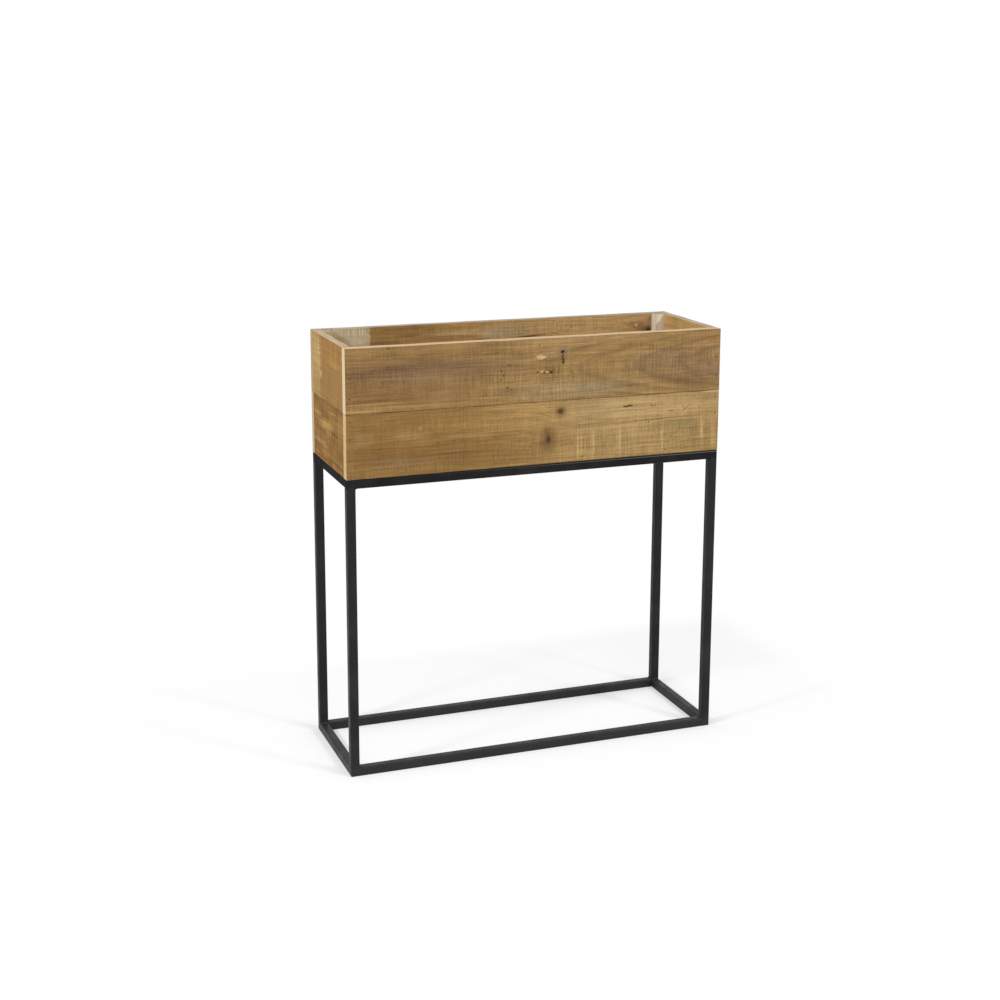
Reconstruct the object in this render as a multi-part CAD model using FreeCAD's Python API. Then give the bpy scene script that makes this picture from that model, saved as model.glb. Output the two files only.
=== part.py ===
import FreeCAD, Part
import os

# Planter on legs: a nailed box of planks, screwed to a welded frame of square tube.
# Millimetres. X runs along the box, -Y is the front, +Z is up.
# The origin is the middle of the footprint, on the floor.

# Overall sizes of the footprint
length = 700.0
depth = 235.0

# Frame: two mitred rings of square tube, with legs between them
frame_height = 535.0
tube = 16.0
tube_wall = 1.5
tube_corner = 2.5
dressed_corner = 2.5

# Box walls: planks on edge, one above the other, thicker in the front wall
front_thickness = 18.0
wall_thickness = 15.0
plank_height = 112.5
plank_arris = 1.2
sawn_end_chamfer = 0.6

# Blocks glued into the corners of the box
block = 18.0
block_arris = 1.0
front_block_below_rim = 6.0
rear_block_below_rim = 1.0

# Base: boards laid between the walls, with drain holes
base_thickness = 18.0
base_arris = 1.0
drain_bore = 12.0
drain_pitch = 200.0

# Nails of flat wire with a T head, driven just below the surface of the plank
nail_width = 1.3
nail_thickness = 1.2
nail_head = 2.4
nail_head_height = 1.2
nail_set = 0.4
nail_length = 35.0
nail_point = 3.0
corner_nails_below_joint = (12.5, 42.5)
corner_nails_above_joint = (26.5, 61.5)
base_nail_pitch = 163.0

# Screws up into the walls, with their heads inside the top ring
screw_shank = 4.0
screw_bite = 20.0
screw_point = 4.0
screw_head = 8.0
screw_head_height = 2.6
screw_hole_clearance = 0.2
screw_access_clearance = 0.75

# Places worked out from those sizes
half_length = length / 2
half_depth = depth / 2
inside_half_length = half_length - wall_thickness
inside_front = front_thickness - half_depth
inside_rear = half_depth - wall_thickness
inside_middle = (inside_front + inside_rear) / 2
plank_joint = frame_height + plank_height
rim = plank_joint + plank_height
floor_of_box = frame_height + base_thickness
levels = {"lower": frame_height, "upper": plank_joint}
corner_nail_levels = {
    "lower": [plank_joint - drop for drop in corner_nails_below_joint],
    "upper": [plank_joint + rise for rise in corner_nails_above_joint],
}

# The long walls, each with its outer and inner face, and the ends of the box
long_walls = {"front": (-half_depth, inside_front), "rear": (half_depth, inside_rear)}
block_tops = {"front": rim - front_block_below_rim, "rear": rim - rear_block_below_rim}
ends = {"left": -1, "right": 1}

X_AXIS = FreeCAD.Vector(1, 0, 0)
Y_AXIS = FreeCAD.Vector(0, 1, 0)
Z_AXIS = FreeCAD.Vector(0, 0, 1)
ORIGIN = FreeCAD.Vector(0, 0, 0)
TOUCH = 1e-6


def block_between(corner, opposite):
    """A square-edged block between two opposite corners, given in any order."""
    low = FreeCAD.Vector(*(min(pair) for pair in zip(corner, opposite)))
    size = FreeCAD.Vector(*(max(pair) for pair in zip(corner, opposite))) - low
    return Part.makeBox(size.x, size.y, size.z, low)


def edges_along(shape, axis):
    """The straight edges of a shape that run along one axis."""
    return [edge for edge in shape.Edges if edge.tangentAt(edge.FirstParameter).cross(axis).Length < TOUCH]


def rounded_bar(width, breadth, run, radius):
    """A bar along +Z, centred on the Z axis, with its four long edges rounded."""
    bar = block_between((-width / 2, -breadth / 2, 0), (width / 2, breadth / 2, run))
    return bar.makeFillet(radius, edges_along(bar, Z_AXIS))


def square_tube(run):
    """A length of the frame's tube along +Z, centred on the Z axis."""
    bore = tube / 2 - tube_wall
    return rounded_bar(tube, tube, run, tube_corner).cut(block_between((-bore, -bore, 0), (bore, bore, run)))


def prism(corners, bottom, top):
    """An upright prism over a plan given by its corners."""
    outline = [FreeCAD.Vector(x, y, bottom) for x, y in corners]
    return Part.Face(Part.makePolygon(outline + outline[:1])).extrude(Z_AXIS * (top - bottom))


def mitred_rail(run, reach, bottom):
    """A front rail of a ring, mitred at both ends, with its outer face at -reach."""
    rail = square_tube(run)
    rail.rotate(ORIGIN, Y_AXIS, 90)
    rail.translate(FreeCAD.Vector(-run / 2, tube / 2 - reach, bottom + tube / 2))
    plan = [
        (-run / 2, -reach),
        (run / 2, -reach),
        (run / 2 - tube, tube - reach),
        (tube - run / 2, tube - reach),
    ]
    return rail.common(prism(plan, bottom, bottom + tube))


def ring(bottom):
    """A ring of four mitred rails, whose corners are dressed round after welding."""
    outline = rounded_bar(length, depth, tube, dressed_corner)
    outline.translate(Z_AXIS * bottom)
    sides = {
        "front": (length, half_depth, 0),
        "right": (depth, half_length, 90),
        "rear": (length, half_depth, 180),
        "left": (depth, half_length, 270),
    }
    rails = {}
    for wall, (run, reach, turn) in sides.items():
        rail = mitred_rail(run, reach, bottom)
        rail.rotate(ORIGIN, Z_AXIS, turn)
        rails[wall] = rail.common(outline)
    return rails


def leg(side_x, side_y):
    """A leg that stands on the bottom ring and butts under the top one."""
    post = square_tube(frame_height - 2 * tube)
    post.translate(FreeCAD.Vector(side_x * (half_length - tube / 2), side_y * (half_depth - tube / 2), tube))
    return post


def long_plank(outer, inner, bottom):
    """A front or rear plank, rounded along the grain and chamfered round its sawn ends."""
    plank = block_between((-half_length, outer, bottom), (half_length, inner, bottom + plank_height))
    plank = plank.makeFillet(plank_arris, edges_along(plank, X_AXIS))
    sawn_edges = [edge for edge in plank.Edges if abs(abs(edge.CenterOfMass.x) - half_length) < TOUCH]
    return plank.makeChamfer(sawn_end_chamfer, sawn_edges)


def end_plank(side, bottom):
    """An end plank, square at the ends that butt against the long planks."""
    inner = side * inside_half_length
    outer = side * half_length
    plank = block_between((outer, inside_front, bottom), (inner, inside_rear, bottom + plank_height))
    return plank.makeFillet(plank_arris, edges_along(plank, Y_AXIS))


def corner_block(side_x, wall_face, top):
    """A square block that stands on the base against an end and a long wall, eased on its free edge."""
    end_face = side_x * inside_half_length
    free_x = end_face - side_x * block
    free_y = wall_face + (block if wall_face < inside_middle else -block)
    stick = block_between((end_face, wall_face, floor_of_box), (free_x, free_y, top))
    free_edge = FreeCAD.Vector(free_x, free_y, (floor_of_box + top) / 2)
    eased = [edge for edge in stick.Edges if (edge.CenterOfMass - free_edge).Length < TOUCH]
    return stick.makeFillet(block_arris, eased)


def centred_row(span, pitch):
    """Places at a steady pitch, centred on zero, as many as the span holds."""
    count = max(1, int(span // pitch))
    return [(index - (count - 1) / 2) * pitch for index in range(count)]


def base_board(wall_face):
    """Half of the base, from the middle of the box to a long wall, drilled for drainage."""
    low_corner = (-inside_half_length, wall_face, frame_height)
    board = block_between(low_corner, (inside_half_length, inside_middle, floor_of_box))
    board = board.makeFillet(base_arris, edges_along(board, X_AXIS))
    for place in centred_row(2 * inside_half_length, drain_pitch):
        start = FreeCAD.Vector(place, (wall_face + inside_middle) / 2, frame_height)
        board = board.cut(Part.makeCylinder(drain_bore / 2, base_thickness, start, Z_AXIS))
    return board


def nail_shape(top, start, direction):
    """The T outline of a nail, from its top down to its chisel point, cut from flat wire."""
    shoulder = nail_set + nail_head_height
    tip = nail_set + nail_length
    half_outline = [
        (nail_head / 2, top),
        (nail_head / 2, shoulder),
        (nail_width / 2, shoulder),
        (nail_width / 2, tip - nail_point),
    ]
    mirrored = [(-across, along) for across, along in reversed(half_outline)]
    outline = half_outline + [(0, tip)] + mirrored
    corners = [FreeCAD.Vector(across, -nail_thickness / 2, along) for across, along in outline]
    solid = Part.Face(Part.makePolygon(corners + corners[:1])).extrude(Y_AXIS * nail_thickness)
    solid.Placement = FreeCAD.Placement(start, FreeCAD.Rotation(Z_AXIS, direction))
    return solid


def nail(start, direction):
    """A nail, and the hole with its dimple, driven from a point on a plank's face."""
    return nail_shape(nail_set, start, direction), nail_shape(0, start, direction)


def screw(seat):
    """A pan-head screw that points up, with its head under a point on the upper wall of the tube."""
    tip = tube_wall + screw_bite
    radius = screw_shank / 2
    crown = screw_head / 4
    profile = [
        (-screw_head_height, 0),
        (-screw_head_height, crown),
        (-screw_head_height / 2, screw_head / 2),
        (0, screw_head / 2),
        (0, radius),
        (tip - screw_point, radius),
        (tip, 0),
    ]
    corners = [FreeCAD.Vector(across, 0, along) for along, across in profile]
    solid = Part.Face(Part.makePolygon(corners + corners[:1])).revolve(ORIGIN, Z_AXIS, 360)
    solid.translate(seat)
    return solid


# Frame
rails = {}
for ring_name, bottom in (("bottom", 0), ("top", frame_height - tube)):
    for wall, rail in ring(bottom).items():
        rails[f"{wall}_{ring_name}_rail"] = rail

legs = {}
for depth_name, side_y in (("front", -1), ("rear", 1)):
    for end, side_x in ends.items():
        legs[f"{depth_name}_{end}_leg"] = leg(side_x, side_y)

# Box
boards = {}
for level, bottom in levels.items():
    for wall, (outer, inner) in long_walls.items():
        boards[f"{wall}_plank_{level}"] = long_plank(outer, inner, bottom)
    for end, side_x in ends.items():
        boards[f"{end}_end_plank_{level}"] = end_plank(side_x, bottom)
for wall, (outer, inner) in long_walls.items():
    boards[f"{wall}_base_board"] = base_board(inner)
    for end, side_x in ends.items():
        boards[f"{wall}_{end}_corner_block"] = corner_block(side_x, inner, block_tops[wall])

# Nails through the long planks into the ends of the end planks
corner_nails = []
for level, heights in corner_nail_levels.items():
    for wall, (outer, inner) in long_walls.items():
        inward = FreeCAD.Vector(0, inner - outer, 0)
        for end, side_x in ends.items():
            for height in heights:
                start = FreeCAD.Vector(side_x * (half_length - wall_thickness / 2), outer, height)
                solid, hole = nail(start, inward)
                corner_nails.append(solid)
                for name in (f"{wall}_plank_{level}", f"{end}_end_plank_{level}"):
                    boards[name] = boards[name].cut(hole)

# Nails through the lower planks into the edges and ends of the base
base_nails = []
nail_level = frame_height + base_thickness / 2
nail_row = centred_row(2 * inside_half_length, base_nail_pitch)
for wall, (outer, inner) in long_walls.items():
    for place in nail_row:
        solid, hole = nail(FreeCAD.Vector(place, outer, nail_level), FreeCAD.Vector(0, inner - outer, 0))
        base_nails.append(solid)
        for name in (f"{wall}_plank_lower", f"{wall}_base_board"):
            boards[name] = boards[name].cut(hole)
    for end, side_x in ends.items():
        start = FreeCAD.Vector(side_x * half_length, (inner + inside_middle) / 2, nail_level)
        solid, hole = nail(start, X_AXIS * -side_x)
        base_nails.append(solid)
        for name in (f"{end}_end_plank_lower", f"{wall}_base_board"):
            boards[name] = boards[name].cut(hole)

# Screws through the upper wall of the front and rear top rails into pilot holes in the lower planks,
# midway between the outer two nails of the base at each end. An access hole in the tube's lower wall
# lets the head and the driver through.
frame_screws = []
between_nails = [(near + far) / 2 for near, far in zip(nail_row, nail_row[1:])]
for wall, side_y in (("front", -1), ("rear", 1)):
    for place in sorted({between_nails[0], between_nails[-1]}):
        under_rail = FreeCAD.Vector(place, side_y * (half_depth - tube / 2), frame_height - tube)
        seat = under_rail + Z_AXIS * (tube - tube_wall)
        frame_screws.append(screw(seat))
        access = Part.makeCylinder(screw_head / 2 + screw_access_clearance, tube_wall, under_rail, Z_AXIS)
        hole = Part.makeCylinder(screw_shank / 2 + screw_hole_clearance, tube_wall, seat, Z_AXIS)
        rails[f"{wall}_top_rail"] = rails[f"{wall}_top_rail"].cut(access).cut(hole)
        boards[f"{wall}_plank_lower"] = boards[f"{wall}_plank_lower"].cut(screw(seat))

fasteners = {
    "corner_nails": Part.makeCompound(corner_nails),
    "base_nails": Part.makeCompound(base_nails),
    "frame_screws": Part.makeCompound(frame_screws),
}

os.makedirs("parts", exist_ok=True)
for node, shape in {**rails, **legs, **boards, **fasteners}.items():
    shape.exportStep(f"parts/{node}.step")
    solids = len(shape.Solids)
    print(f"{node}: {solids} solid(s), valid {shape.isValid()}, {shape.Volume / 1000:.2f} cm3")
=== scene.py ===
import math
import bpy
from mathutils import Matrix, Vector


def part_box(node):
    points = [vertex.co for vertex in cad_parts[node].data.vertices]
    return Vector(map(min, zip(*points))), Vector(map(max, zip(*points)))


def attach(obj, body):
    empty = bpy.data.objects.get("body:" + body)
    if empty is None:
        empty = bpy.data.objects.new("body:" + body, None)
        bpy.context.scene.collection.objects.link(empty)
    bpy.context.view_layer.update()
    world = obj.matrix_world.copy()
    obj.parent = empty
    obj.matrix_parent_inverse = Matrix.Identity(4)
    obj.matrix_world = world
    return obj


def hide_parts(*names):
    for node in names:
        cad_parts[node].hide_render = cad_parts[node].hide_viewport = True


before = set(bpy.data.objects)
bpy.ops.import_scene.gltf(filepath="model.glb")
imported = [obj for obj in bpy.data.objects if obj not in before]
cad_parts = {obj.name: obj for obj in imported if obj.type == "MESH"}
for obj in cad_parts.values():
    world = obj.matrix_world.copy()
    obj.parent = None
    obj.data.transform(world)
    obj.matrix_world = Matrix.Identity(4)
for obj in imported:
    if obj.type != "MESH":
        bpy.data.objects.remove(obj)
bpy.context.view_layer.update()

from types import SimpleNamespace

import bmesh
import bpy
import numpy as np
from mathutils import Matrix, Vector

# Frame: two mitred rings of 16 mm square steel tube, with a leg in each corner between them.
# The tube is welded, the outer welds are dressed flush, and all of it is powder coated satin black.
# The coat is duller on the top ring, with a painted highlight along its upper arris, and quite flat on its
# left rail.
MM = 0.001
COAT_BLACK = "1a1a1a"
COAT_DUSTY = "252525"
BOUNCE_LIGHT_GREY = "333333"
ARRIS_HIGHLIGHT_GREY = "686868"
COAT_PEEL = 1.1 * MM
PEEL_DEPTH = 0.12 * MM
PEEL_STRENGTH = 0.16
COAT_UNEVENNESS = 0.07
DUST_SHOWS = (0.42, 0.72)
# Painted light low down, as thrown up by the white floor, and a painted highlight along the upper arris.
BOUNCE_LIGHT_REACH = (30 * MM, 10 * MM)
BOUNCE_LIGHT_SHARE = 0.45
ARRIS_STARTS = (0.02, 0.12)
ARRIS_ENDS = (0.5, 0.3)
ARRIS_HIGHLIGHT_REACH = (-250 * MM, 350 * MM)


def card(code):
    """A colour read off a colour card as sRGB hex, in the shader's linear values."""
    parts = [int(code[k:k + 2], 16) / 255 for k in (0, 2, 4)]
    return (*(p / 12.92 if p <= 0.04045 else ((p + 0.055) / 1.055) ** 2.4 for p in parts), 1.0)


def new_finish(name):
    """A new material: returns it, its node tree and its shader."""
    material = bpy.data.materials.new(name)
    material.use_nodes = True
    return material, material.node_tree, material.node_tree.nodes["Principled BSDF"]


def put(tree, kind, inputs=None, out=0, **settings):
    """Adds a node, sets or links its inputs, and returns one of its outputs."""
    made = tree.nodes.new(kind)
    for key, value in settings.items():
        setattr(made, key, value)
    for key, value in (inputs or {}).items():
        if isinstance(value, bpy.types.NodeSocket):
            tree.links.new(value, made.inputs[key])
        else:
            made.inputs[key].default_value = value
    return made.outputs[out]


def calc(tree, operation, first, second=0.0, third=0.0):
    """One step of arithmetic on numbers or sockets."""
    return put(tree, "ShaderNodeMath", {0: first, 1: second, 2: third}, operation=operation)


def times(tree, first, *others):
    """Numbers or sockets multiplied together."""
    for other in others:
        first = calc(tree, "MULTIPLY", first, other)
    return first


def fade(tree, value, start, end, low=0.0, high=1.0):
    """A smooth change from low to high as the value goes from start to end."""
    inputs = {"Value": value, "From Min": start, "From Max": end, "To Min": low, "To Max": high}
    return put(tree, "ShaderNodeMapRange", inputs, interpolation_type="SMOOTHSTEP")


def over(tree, share, under, top, mode="MIX"):
    """One colour laid over another."""
    return put(tree, "ShaderNodeMix", {0: share, 6: under, 7: top}, out=2, data_type="RGBA", blend_type=mode)


def mottle(tree, place, scale, detail=2.0, roughness=0.5, seed=0.0):
    """Soft noise at a place, with its own seed."""
    inputs = {"Vector": place, "W": seed, "Scale": scale, "Detail": detail, "Roughness": roughness}
    return put(tree, "ShaderNodeTexNoise", inputs, noise_dimensions="4D")


def black_coat(name, shine, roughness, painted_arris_highlight=0.0):
    """Satin black powder coat: a faint orange peel, dust, painted light low down, and a painted highlight on
    the upper arris.
    """
    material, tree, shader = new_finish(name)
    place = put(tree, "ShaderNodeTexCoord", out=3)
    height = put(tree, "ShaderNodeSeparateXYZ", {0: place}, out=2)
    dust = fade(tree, mottle(tree, place, 14.0, 4.0, 0.6), *DUST_SHOWS)
    black = over(tree, dust, card(COAT_BLACK), card(COAT_DUSTY))
    # Painted light: the coat is lighter low down, where the white floor throws light up.
    bounce_light = fade(tree, height, *BOUNCE_LIGHT_REACH, 0.0, BOUNCE_LIGHT_SHARE)
    black = over(tree, bounce_light, black, card(BOUNCE_LIGHT_GREY))
    # Painted highlight: a pale grey band along the upper arris, stronger towards the right end.
    if painted_arris_highlight:
        along = put(tree, "ShaderNodeSeparateXYZ", {0: place}, out=0)
        up = put(tree, "ShaderNodeSeparateXYZ", {0: put(tree, "ShaderNodeNewGeometry", out=1)}, out=2)
        on_arris = times(tree, fade(tree, up, *ARRIS_STARTS), fade(tree, up, *ARRIS_ENDS))
        pale_arris = times(tree, on_arris, fade(tree, along, *ARRIS_HIGHLIGHT_REACH, 0.0, painted_arris_highlight))
        black = over(tree, pale_arris, black, card(ARRIS_HIGHLIGHT_GREY))
    tree.links.new(black, shader.inputs["Base Color"])
    uneven = mottle(tree, place, 45.0, 3.0, 0.5, 4.0)
    smoothest, roughest = roughness - COAT_UNEVENNESS, roughness + COAT_UNEVENNESS
    tree.links.new(fade(tree, uneven, 0.3, 0.7, smoothest, roughest), shader.inputs["Roughness"])
    peel = mottle(tree, place, 1 / COAT_PEEL, 2.0, 0.5, 8.0)
    bump = put(tree, "ShaderNodeBump", {"Strength": PEEL_STRENGTH, "Distance": PEEL_DEPTH, "Height": peel})
    tree.links.new(bump, shader.inputs["Normal"])
    shader.inputs["Specular IOR Level"].default_value = shine
    return material


def finish_with(piece, finish):
    """Gives a piece of the frame one finish all over."""
    piece.data.materials.clear()
    piece.data.materials.append(finish)


coat = black_coat("black_coat", shine=0.17, roughness=0.49)
top_ring_coat = black_coat("top_ring_coat", shine=0.06, roughness=0.4, painted_arris_highlight=0.85)
flat_coat = black_coat("rubbed_coat", shine=0.005, roughness=0.49)
for node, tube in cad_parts.items():
    if node == "left_top_rail":
        finish_with(tube, flat_coat)
    elif node.endswith("_top_rail"):
        finish_with(tube, top_ring_coat)
    elif node.endswith(("_bottom_rail", "_leg")):
        finish_with(tube, coat)

# Welds: a small fillet bead in each inside corner where a leg meets a rail, left as it was run.
# On the two outer faces the weld is ground down to a low, uneven ridge. All are coated with the frame.
# The sections of both beads are in millimetres.
FILLET = [
    (-0.25, -0.25), (2.3, -0.25), (2.3, 0.0), (1.65, 0.68),
    (1.15, 1.15), (0.68, 1.65), (0.0, 2.3), (-0.25, 2.3),
]
GROUND = [(-2.7, -0.1), (-1.7, 0.1), (-0.6, 0.2), (0.7, 0.18), (1.6, 0.09), (2.7, -0.1)]
FILLET_SHARE = 0.84
GROUND_SHARE = 0.66
BEAD_STATIONS = 37
BEAD_STEP = 1.7 * MM
BEAD_RIPPLE = 0.1
BEAD_WOBBLE = 0.1
BEAD_END = 0.35
BEAD_SWELLS = 6


def weld_bead(section, start, run, away, out, seed):
    """The points and faces of a bead: its section swept along a run, rippled, and tapered at both ends."""
    draw = np.random.default_rng(seed)
    wobble = draw.uniform(1 - BEAD_WOBBLE, 1 + BEAD_WOBBLE, BEAD_STATIONS).tolist()
    points = []
    faces = []
    size = len(section)
    for station in range(BEAD_STATIONS):
        share = station / (BEAD_STATIONS - 1)
        ripple = 1 + BEAD_RIPPLE * math.sin(math.tau * share * run.length / BEAD_STEP)
        taper = min(1.0, BEAD_SWELLS * min(share, 1 - share) + BEAD_END)
        scale = MM * ripple * wobble[station] * taper
        points += [start + run * share + scale * (away * a + out * b) for a, b in section]
    for station in range(BEAD_STATIONS - 1):
        for step in range(size):
            near, far = station * size + step, station * size + (step + 1) % size
            faces.append((near, far, far + size, near + size))
    faces.append(tuple(range(size - 1, -1, -1)))
    faces.append(tuple(range(len(points) - size, len(points))))
    return points, faces


bead_points = []
bead_faces = []
leg_nodes = sorted(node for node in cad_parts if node.endswith("_leg"))
for leg_number, leg_node in enumerate(leg_nodes):
    low, high = (Vector(corner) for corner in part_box(leg_node))
    middle, half = (low + high) / 2, (high - low) / 2
    inward = [Vector((-math.copysign(1, middle.x), 0, 0)), Vector((0, -math.copysign(1, middle.y), 0))]
    for end_number, upward in enumerate((Vector((0, 0, 1)), Vector((0, 0, -1)))):
        seat = middle - upward * half.z
        for side in (0, 1):
            face, along = inward[side], inward[1 - side]
            seed = 8 * leg_number + 4 * end_number + side
            inner_start = seat + half.x * (face - FILLET_SHARE * along)
            inner_run = 2 * FILLET_SHARE * half.x * along
            outer_start = seat - half.x * (face + GROUND_SHARE * along)
            outer_run = 2 * GROUND_SHARE * half.x * along
            beads = [
                weld_bead(FILLET, inner_start, inner_run, face, upward, seed),
                weld_bead(GROUND, outer_start, outer_run, upward, -face, seed + 2),
            ]
            for points, faces in beads:
                first = len(bead_points)
                bead_faces += [tuple(first + corner for corner in corners) for corners in faces]
                bead_points += points
bead_mesh = bpy.data.meshes.new("weld_beads")
bead_mesh.from_pydata([tuple(p) for p in bead_points], [], bead_faces)
turned = bmesh.new()
turned.from_mesh(bead_mesh)
bmesh.ops.recalc_face_normals(turned, faces=turned.faces)
turned.to_mesh(bead_mesh)
turned.free()
bead_mesh.polygons.foreach_set("use_smooth", [True] * len(bead_mesh.polygons))
bead_mesh.materials.append(coat)
weld_beads = bpy.data.objects.new("weld_beads", bead_mesh)
bpy.context.scene.collection.objects.link(weld_beads)
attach(weld_beads, "root")

# Front planks: two planks of old pine, 18 mm thick, one on the other, sawn and oiled.
# Each is a slice of its own log, so its figure follows the rings round that log's heart.
# They lie over the ends of the end planks, and are nailed to them and to the base.
PLANK_ARRIS = 0.9 * MM
BUTTED_ARRIS = 0.3 * PLANK_ARRIS
ARRIS_BAND = 1.9 * PLANK_ARRIS
ARRIS_WANDERS = 83 * MM
FACE_WAVE = 0.2 * MM
FACE_WAVES_ALONG = 210 * MM
FACE_WAVES_ACROSS = 60 * MM
RIM_WAVE = 0.25 * MM
RIM_WAVES = 160 * MM
GRID_STEP = 4.0 * MM
GRID_THROUGH = 5.0 * MM
GRID_LEAST = 0.11 * MM
LONG_AXES = (0, 2, 1)
FRONT = -1
REAR = 1


def nail_heads(node):
    """The middle of each nail's head in millimetres, with the axis and the side that it was driven from."""
    nails = bmesh.new()
    nails.from_mesh(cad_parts[node].data)
    bmesh.ops.remove_doubles(nails, verts=nails.verts, dist=0.001 * MM)
    heads = []
    for start in nails.verts:
        if start.tag:
            continue
        start.tag = True
        group = [start]
        for vert in group:
            fresh = [edge.other_vert(vert) for edge in vert.link_edges if not edge.other_vert(vert).tag]
            for other in fresh:
                other.tag = True
            group += fresh
        points = np.array([vert.co for vert in group]) / MM
        axis = int(np.argmax(np.ptp(points, axis=0)))
        side = int(np.sign(points[:, axis].mean()))
        heads.append((axis, side, (points.min(0) + points.max(0)) / 2))
    nails.free()
    return heads


all_nails = nail_heads("corner_nails") + nail_heads("base_nails")


def nails_in(node, axes, side):
    """The nails driven into one face of a board: their places along and across it."""
    low, high = (np.array(corner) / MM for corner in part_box(node))
    along, across, through = axes
    inside = [
        at for axis, from_side, at in all_nails
        if axis == through and from_side == side
        and low[along] < at[along] < high[along] and low[across] < at[across] < high[across]
    ]
    return [(float(at[along]), float(at[across])) for at in inside]


def grid_lines(low, high, step, places):
    """Grid lines over a board: close together at the arrises and at marks, evenly spaced between."""
    first, last = low + ARRIS_BAND, high - ARRIS_BAND
    band = ARRIS_BAND * np.array([0, 0.14, 0.32, 0.55, 0.78, 1.0])
    even = np.linspace(first, last, max(2, int((high - low - 2 * ARRIS_BAND) / step)))
    inside = [place for place in places if first < place < last]
    lines = np.sort(np.concatenate([low + band, even, inside, high - band]))
    kept = [lines[0]]
    for line in lines[1:-1]:
        if line - kept[-1] > GRID_LEAST:
            kept.append(line)
    return np.array(kept + [lines[-1]])


def sway(place, wave, seed):
    """A slow wander along a board, between -1 and 1, as a hand-fed saw leaves it."""
    starts = np.random.default_rng(seed).uniform(0, math.tau, 3)
    parts = [np.sin(math.tau * place / (wave * k) + s) for k, s in zip((1.0, 0.61, 0.37), starts)]
    return (parts[0] + 0.6 * parts[1] + 0.35 * parts[2]) / 1.95


def board_grid(low, high, axes, hollows):
    """A grid over the six sides of a board: its points, and the quads between them."""
    along, across, through = axes
    places = {axis: [] for axis in axes}
    for _, at_along, at_across, half_along, half_across, _ in hollows:
        spread = np.linspace(-1.2, 1.2, 5)
        places[along] += list((at_along + half_along * spread) * MM)
        places[across] += list((at_across + half_across * spread) * MM)
    steps = {along: GRID_STEP, across: GRID_STEP, through: GRID_THROUGH}
    lines = [grid_lines(low[axis], high[axis], steps[axis], places[axis]) for axis in (0, 1, 2)]
    skin = np.zeros([len(line) for line in lines], bool)
    sheets = [
        tuple(end if other == axis else slice(None) for other in (0, 1, 2))
        for axis in (0, 1, 2) for end in (0, -1)
    ]
    for sheet in sheets:
        skin[sheet] = True
    index = np.full(skin.shape, -1)
    index[skin] = np.arange(skin.sum())
    turned_in = (0, 3, 4)
    quads = []
    for number, sheet in enumerate(sheets):
        ids = index[sheet]
        corners = [ids[:-1, :-1], ids[1:, :-1], ids[1:, 1:], ids[:-1, 1:]]
        if number in turned_in:
            corners.reverse()
        quads.append(np.stack(corners, axis=-1).reshape(-1, 4))
    return np.stack(np.meshgrid(*lines, indexing="ij"), axis=-1)[skin], np.concatenate(quads)


def board_mesh(node, axes, seed, hollows=(), butted=False):
    """A board's skin: eased edges that wander, faces that wave a little, and hollows in its faces.

    axes are the box axes along, across and through the board. A hollow is (side, along, across,
    half length, half height, depth): side is -1 or 1 for the face, and the rest are millimetres."""
    low, high = (np.array(corner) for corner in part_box(node))
    along, across, through = axes
    grid, quads = board_grid(low, high, axes, hollows)
    run, rise = grid[:, along], grid[:, across]
    radius = PLANK_ARRIS * (1.15 + 0.7 * sway(run + 0.3 * rise, ARRIS_WANDERS, seed))
    if butted:
        to_end = np.minimum(run - low[along], high[along] - run)
        radius = np.where(to_end <= ARRIS_BAND, BUTTED_ARRIS, radius)
    core = np.clip(grid, low + radius[:, None], high - radius[:, None])
    out = grid - core
    out /= np.linalg.norm(out, axis=1, keepdims=True)
    points = core + out * radius[:, None]
    wave_along = 0.6 * sway(run, FACE_WAVES_ALONG, seed + 1)
    wave_across = 0.4 * sway(rise, FACE_WAVES_ACROSS, seed + 2)
    points[:, through] -= out[:, through] * (FACE_WAVE * (1 + wave_along + wave_across))
    if node.endswith("upper"):
        points[:, across] -= np.clip(out[:, across], 0, 1) * RIM_WAVE * (1 + sway(run, RIM_WAVES, seed + 3))
    for side, at_along, at_across, half_along, half_across, depth in hollows:
        off_along = (run / MM - at_along) / half_along
        off_across = (rise / MM - at_across) / half_across
        ragged = 1 + 0.22 * np.sin(5 * np.arctan2(off_across, off_along) + at_along)
        dip = np.clip(2.2 - 2 * np.hypot(off_along, off_across) * ragged, 0, 1)
        facing = np.clip(out[:, through] * side, 0, 1) ** 4
        points[:, through] -= side * facing * depth * MM * dip

    mesh = bpy.data.meshes.new(node + "_skin")
    mesh.from_pydata(points.tolist(), [], quads.tolist())
    mesh.polygons.foreach_set("use_smooth", [True] * len(mesh.polygons))
    board = bpy.data.objects.new("dressed_" + node, mesh)
    bpy.context.scene.collection.objects.link(board)
    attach(board, "root")
    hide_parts(node)
    return board


BOX_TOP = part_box("front_plank_upper")[1][2] / MM
RIM_STARTS = (BOX_TOP - 13, BOX_TOP - 8)
SAW_PITCH = 6.4
SPECKS_APART = 13
NAIL_DIMPLE = (1.5, 1.2, 0.7)
NAIL_STAIN_REACH = 1.5
NAIL_STAIN_SHARE = 0.4
HALO_SHARE = 0.72
EYE_SHARE = 0.78
MIDDLE_TONE = 0.53
GRAIN_DEPTH = 0.4 * MM
GRAIN_STRENGTH = 0.6
PINE_SHINE = 0.2
WORN_ARRIS = "b8966a"
JOINT_DIRT_AND_SHADE = "442e1a"
KNOT_HALO = "5e4125"
KNOT_EYE = "2e2417"
SPECK = "4e3a24"
NAIL_STAIN = "3a2a1a"


def spot(tree, along, across):
    """A place on a board's face, as one vector."""
    return put(tree, "ShaderNodeCombineXYZ", {0: along, 1: across})


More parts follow.
